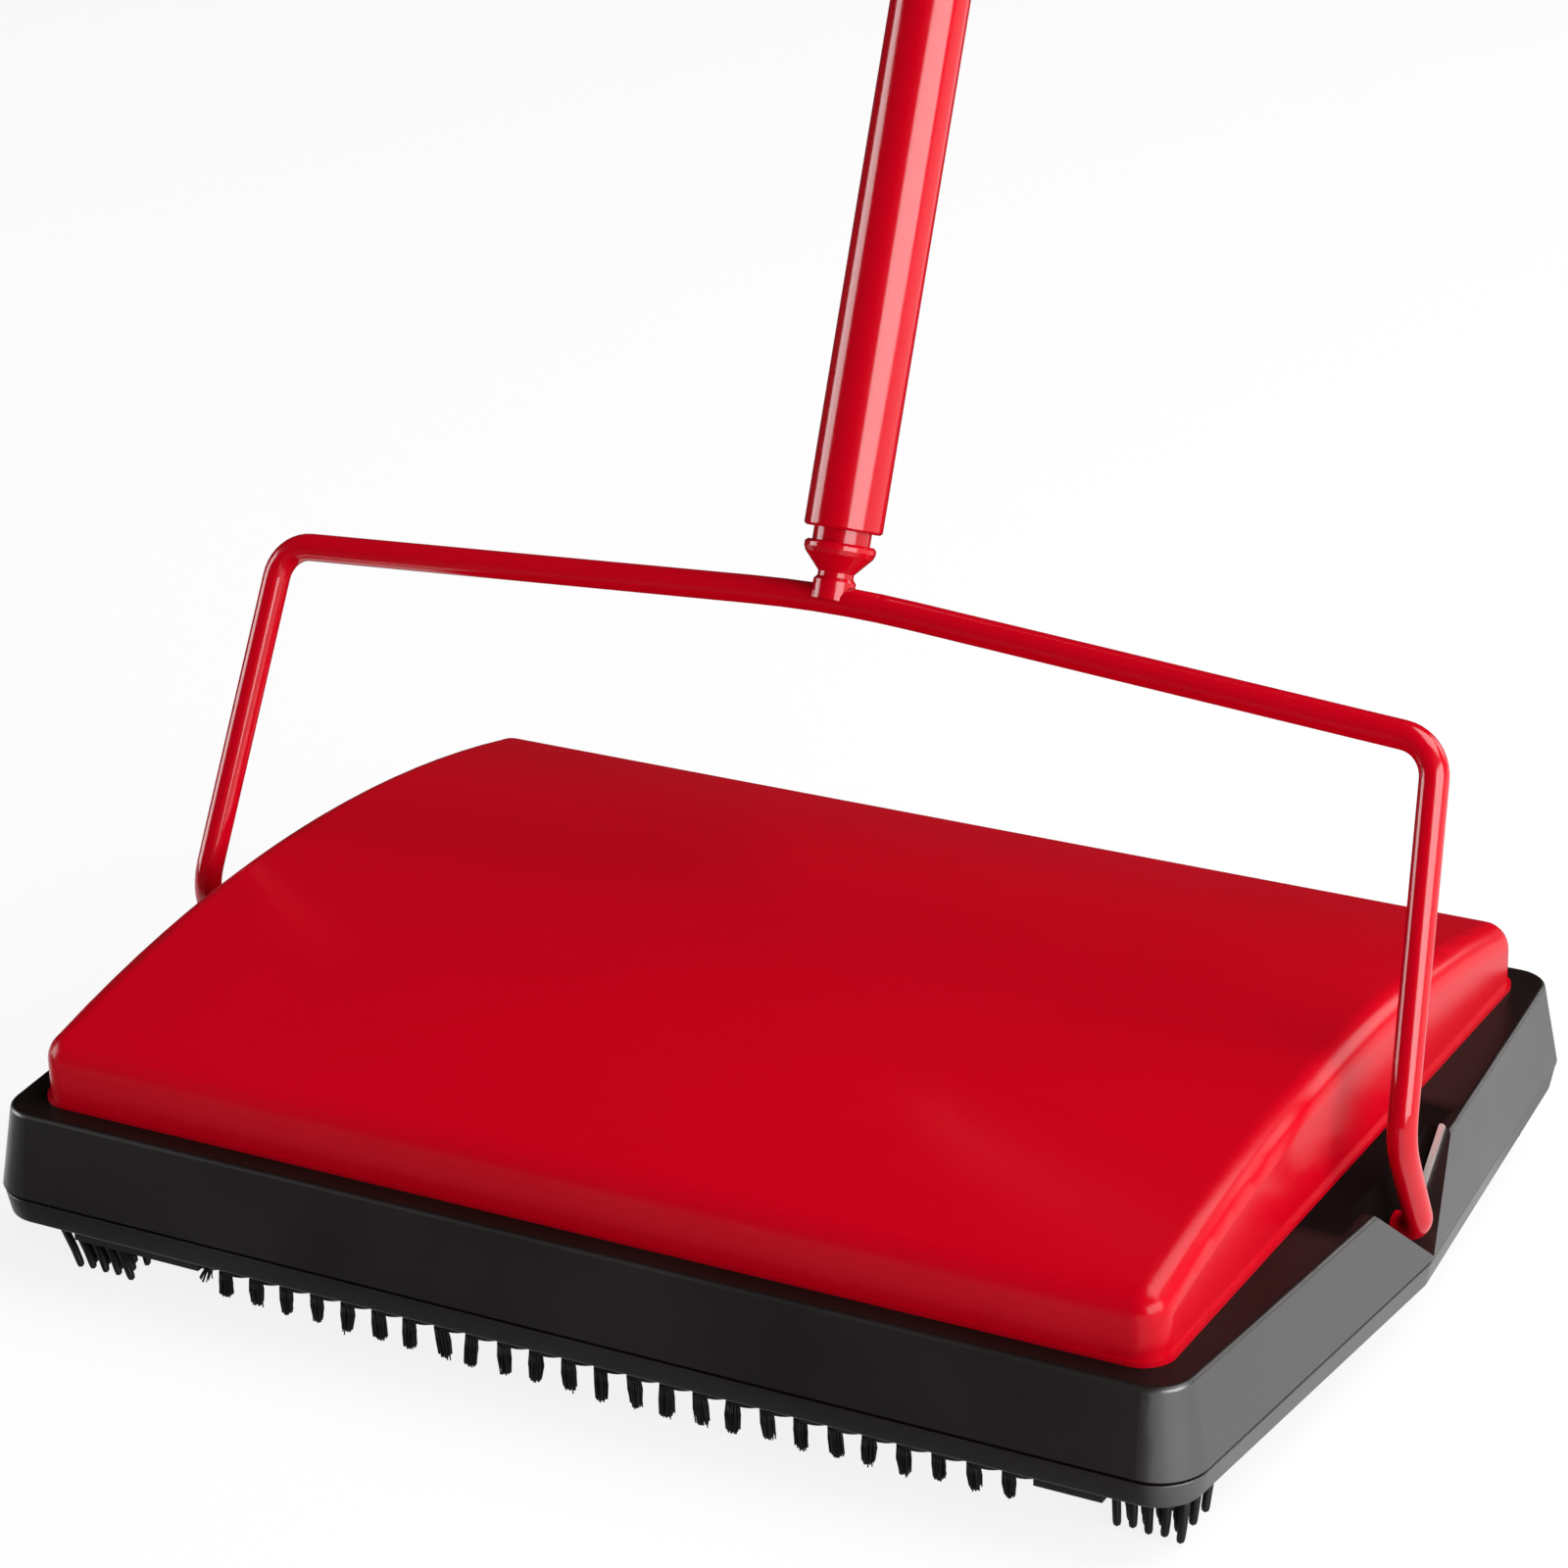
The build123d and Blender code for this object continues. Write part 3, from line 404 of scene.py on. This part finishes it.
def edge_brush(name, end):
    """Tufts that hang from the twisted wire behind the skirt, and a thin one past the row's end."""
    rng = Random(11 + end)
    low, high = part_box(f"edge_bristles_{name}")
    middle_x = (low.x + high.x) / 2
    middle_y = (low.y + high.y) / 2
    root_z = high.z + 0.4 * MM
    row_half = (tuft_count - 1) / 2 * tuft_pitch
    outer_rise = 1.6 * MM
    trim_gap = 0.25
    trim_error = 0.35
    full = {"wide": 1.35 * MM, "deep": 1.15 * MM, "count": 56, "radius": 0.2 * MM}
    thin = {"wide": 0.6 * MM, "deep": 0.8 * MM, "count": 16, "radius": 0.18 * MM}
    mesh = bmesh.new()
    for i in range(tuft_count):
        along = (i - (tuft_count - 1) / 2) * tuft_pitch
        rise = outer_rise * (along / row_half) ** 2
        root = Vector((middle_x + along, middle_y, root_z))
        tip = root + Vector((rng.gauss(0, 0.3), rng.gauss(0, 0.2), 0)) * MM
        tip.z = low.z + rise + (trim_gap + abs(rng.gauss(0, trim_error))) * MM
        tuft(mesh, root, tip, close=rng.uniform(0.75, 1.1), rng=rng, **full)
    root = Vector((middle_x + end * (tuft_count + 0.1) / 2 * tuft_pitch, middle_y, root_z))
    tip = root + Vector((1.2 * end * MM, 0, -3.4 * MM))
    tuft(mesh, root, tip, close=2.2, rng=rng, **thin)
    piece(f"edge_tufts_{name}", mesh, "body", "dark_bristle", f"edge_bristles_{name}")


def twisted_wire(name):
    """Two wires twisted round the tufts, slack between them and tight in the hangers."""
    low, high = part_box(f"edge_stem_{name}")
    tuft_low, tuft_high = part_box(f"edge_bristles_{name}")
    middle = (low + high) / 2
    tuft_x = (tuft_low.x + tuft_high.x) / 2
    wire_r = (high.z - low.z) / 4
    slack = 0.45 * MM
    facets = 8
    steps_per_pitch = 8
    steps = int((high.x - low.x) / tuft_pitch * steps_per_pitch)
    turns = [2 * pi * i / facets for i in range(facets)]
    spokes = [Vector((0, cos(turn), sin(turn))) for turn in turns]
    mesh = bmesh.new()
    for phase in (0, pi):
        rings = []
        for i in range(steps + 1):
            x = low.x + (high.x - low.x) * i / steps
            turn = phase + pi * (x - tuft_x) / tuft_pitch
            past = max(tuft_low.x - x, x - tuft_high.x, 0)
            out = wire_r + slack * max(0, 1 - past / tuft_pitch)
            point = Vector((x, middle.y, middle.z)) + out * Vector((0, cos(turn), sin(turn)))
            rings.append([mesh.verts.new(point + wire_r * spoke) for spoke in spokes])
        skin(mesh, rings)
        mesh.faces.new(rings[0][::-1])
        mesh.faces.new(rings[-1])
    bmesh.ops.recalc_face_normals(mesh, faces=mesh.faces)
    piece(f"twisted_wire_{name}", mesh, "body", "steel_wire", f"edge_stem_{name}")


def corner_brush(end_name, side_name):
    """Thick bristles under a corner, set in a staggered block, closing in towards their tips."""
    rng = Random(f"{end_name} {side_name}")
    name = f"{end_name}_{side_name}"
    holder_low, holder_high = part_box(f"corner_holder_{name}")
    middle = (holder_low + holder_high) / 2
    pitch = 3.7 * MM
    row_pitch = pitch * 0.88
    rows = 5
    gather = 0.9
    bend = 0.12
    # Lean of the front corners' bristles, in millimetres: use has bent each clump its own way
    leans = {"front_left": (10.6, -6.0), "front_right": (0.6, -3.0)}
    lean_x, lean_y = leans.get(name, (-0.6 * sides[side_name], 3.0))
    stations = (0, 0.35, 0.7, 0.93, 1)
    radii = [r * MM for r in (0.95, 0.95, 0.92, 0.88, 0.72)]
    mesh = bmesh.new()
    for row in range(rows):
        columns = rows - row % 2
        for column in range(columns):
            across = (column - (columns - 1) / 2) * pitch
            along = (row - (rows - 1) / 2) * row_pitch
            root = Vector((middle.x + across, middle.y + along, holder_low.z))
            tip_z = (1.0 + 0.9 * rng.random()) * MM
            tip_x = middle.x + gather * across + lean_x * MM
            tip = Vector((tip_x, middle.y + gather * along + lean_y * MM, tip_z))
            bow = Vector((bend * lean_x + rng.gauss(0, 0.2), bend * lean_y + rng.gauss(0, 0.2), 0)) * MM
            points = [root.lerp(tip, t) + bow * 4 * t * (1 - t) for t in stations]
            strand(mesh, points, radii, facets=10)
    piece(f"corner_clump_{name}", mesh, "body", "dark_bristle", f"corner_bristles_{name}")


def roll_brush():
    """Two spiral rows of tufts set in the core, their tips trimmed to the roll's radius."""
    rng = Random(5)
    core_low, core_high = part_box("roll_core")
    low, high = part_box("roll_bristles")
    middle = (core_low + core_high) / 2
    axis = Vector((0, middle.y, middle.z))
    root_r = (core_high.z - core_low.z) / 2 - 1 * MM
    tip_r = (high.z - low.z) / 2
    margin = 6 * MM
    rows = 2
    count = 20
    filaments = 40
    spiral_degrees = 240
    trim_gap = 0.15 * MM
    root_wide = 1.6 * MM
    tip_wide = 4.2 * MM
    waist = 0.5 * MM
    radii = [0.19 * MM, 0.18 * MM, 0.14 * MM]
    pitch = (core_high.x - core_low.x - 2 * margin) / (count - 1)
    mesh = bmesh.new()
    for row in range(rows):
        for i in range(count):
            turn = radians(360 / rows * row + spiral_degrees * i / count)
            out = Vector((0, cos(turn), sin(turn)))
            beside = Vector((0, -sin(turn), cos(turn)))
            foot = Vector((core_low.x + margin + i * pitch, 0, 0))
            for k in range(filaments):
                spin = even_turn * k
                wide = ((k + 0.5) / filaments) ** 0.5
                flat = (Vector((cos(spin), 0, 0)) + sin(spin) * beside) * wide
                root = foot + out * root_r + flat * root_wide
                reach = tip_r - trim_gap - abs(rng.gauss(0, 0.5)) * MM
                tip = foot + out * reach + flat * tip_wide * (0.8 + 0.4 * rng.random())
                over = tip.yz.length / tip_r
                if over > 1:
                    tip.y /= over
                    tip.z /= over
                bend = root.lerp(tip, 0.5) - flat * waist
                strand(mesh, [root + axis, bend + axis, tip + axis], radii, facets=5)
    piece("roll_tufts", mesh, "brush_roll", "dark_bristle", "roll_bristles")


for end_name, end in ends.items():
    edge_brush(end_name, end)
    twisted_wire(end_name)
    for side_name in sides:
        corner_brush(end_name, side_name)
roll_brush()


def floor_sheet():
    """Wide level floor that fills the view behind the sweeper."""
    half_width = 12
    mesh = bmesh.new()
    bmesh.ops.create_grid(mesh, x_segments=1, y_segments=1, size=half_width)
    data = bpy.data.meshes.new("floor")
    mesh.to_mesh(data)
    mesh.free()
    made = bpy.data.objects.new("floor", data)
    made.data.materials.append(white_paper())
    bpy.context.collection.objects.link(made)


def softbox(name, at, aim, width, height, watts):
    """A softbox that faces a point, and that the camera doesn't see."""
    data = bpy.data.lights.new(name, "AREA")
    data.shape = "RECTANGLE"
    data.size = width
    data.size_y = height
    data.energy = watts
    made = bpy.data.objects.new(name, data)
    made.visible_camera = False
    made.location = at
    made.rotation_euler = (Vector(aim) - Vector(at)).to_track_quat("-Z", "Y").to_euler()
    bpy.context.collection.objects.link(made)


def studio_world():
    """Room light, brighter to the right; past the floor the eye sees the floor's own pale tone."""
    seen_level = 0.87
    world = bpy.data.worlds.new("studio")
    world.use_nodes = True
    bpy.context.scene.world = world
    tree = world.node_tree
    way = add(tree, "SeparateXYZ", {"Vector": add(tree, "TexCoord").outputs["Generated"]}).outputs
    rightward = {"From Min": 0.2, "From Max": 1.0, "To Min": 0.02, "To Max": 0.3}
    room = add(tree, "MapRange", {"Value": way["X"], **rightward}).outputs["Result"]
    eye = add(tree, "LightPath").outputs["Is Camera Ray"]
    seen = add(tree, "Math", {0: eye, 1: seen_level}, operation="MULTIPLY").outputs[0]
    level = add(tree, "Math", {0: room, 1: seen}, operation="MAXIMUM").outputs[0]
    plug(tree, tree.nodes["Background"], {"Color": linear("FFFFFF"), "Strength": level})


floor_sheet()
studio_world()
body_middle = (0, 0, 0.06)
bail_middle = (0, 0.05, 0.2)
softbox("softbox_top", (1.05, 0.6, 2.05), body_middle, width=1.9, height=1.6, watts=48)
softbox("softbox_right", (1.68, -0.58, 0.68), bail_middle, width=2.0, height=0.9, watts=38)
softbox("softbox_left", (-1.7, -0.5, 0.4), bail_middle, width=0.9, height=0.8, watts=13.5)
softbox("softbox_rear_right", (1.0, 1.65, 0.75), body_middle, width=1.0, height=0.7, watts=7.5)

# Camera, turned, tilted and rolled as the product picture was taken
focal_px = 4869.2
picture_px = 1600
camera_at = (0.4543, -0.8122, 0.4960)
camera_turn = radians(29.2)
camera_tilt = radians(90 - 23.1)
camera_roll = radians(-1.7)
camera_data = bpy.data.cameras.new("camera")
camera_data.sensor_width = 36
camera_data.lens = focal_px / picture_px * camera_data.sensor_width
camera_data.clip_end = 50
camera = bpy.data.objects.new("camera", camera_data)
look = Matrix.Rotation(camera_turn, 4, "Z") @ Matrix.Rotation(camera_tilt, 4, "X")
look = look @ Matrix.Rotation(camera_roll, 4, "Z")
camera.matrix_world = Matrix.Translation(camera_at) @ look
bpy.context.collection.objects.link(camera)
bpy.context.scene.camera = camera
bpy.context.scene.view_settings.view_transform = "Standard"
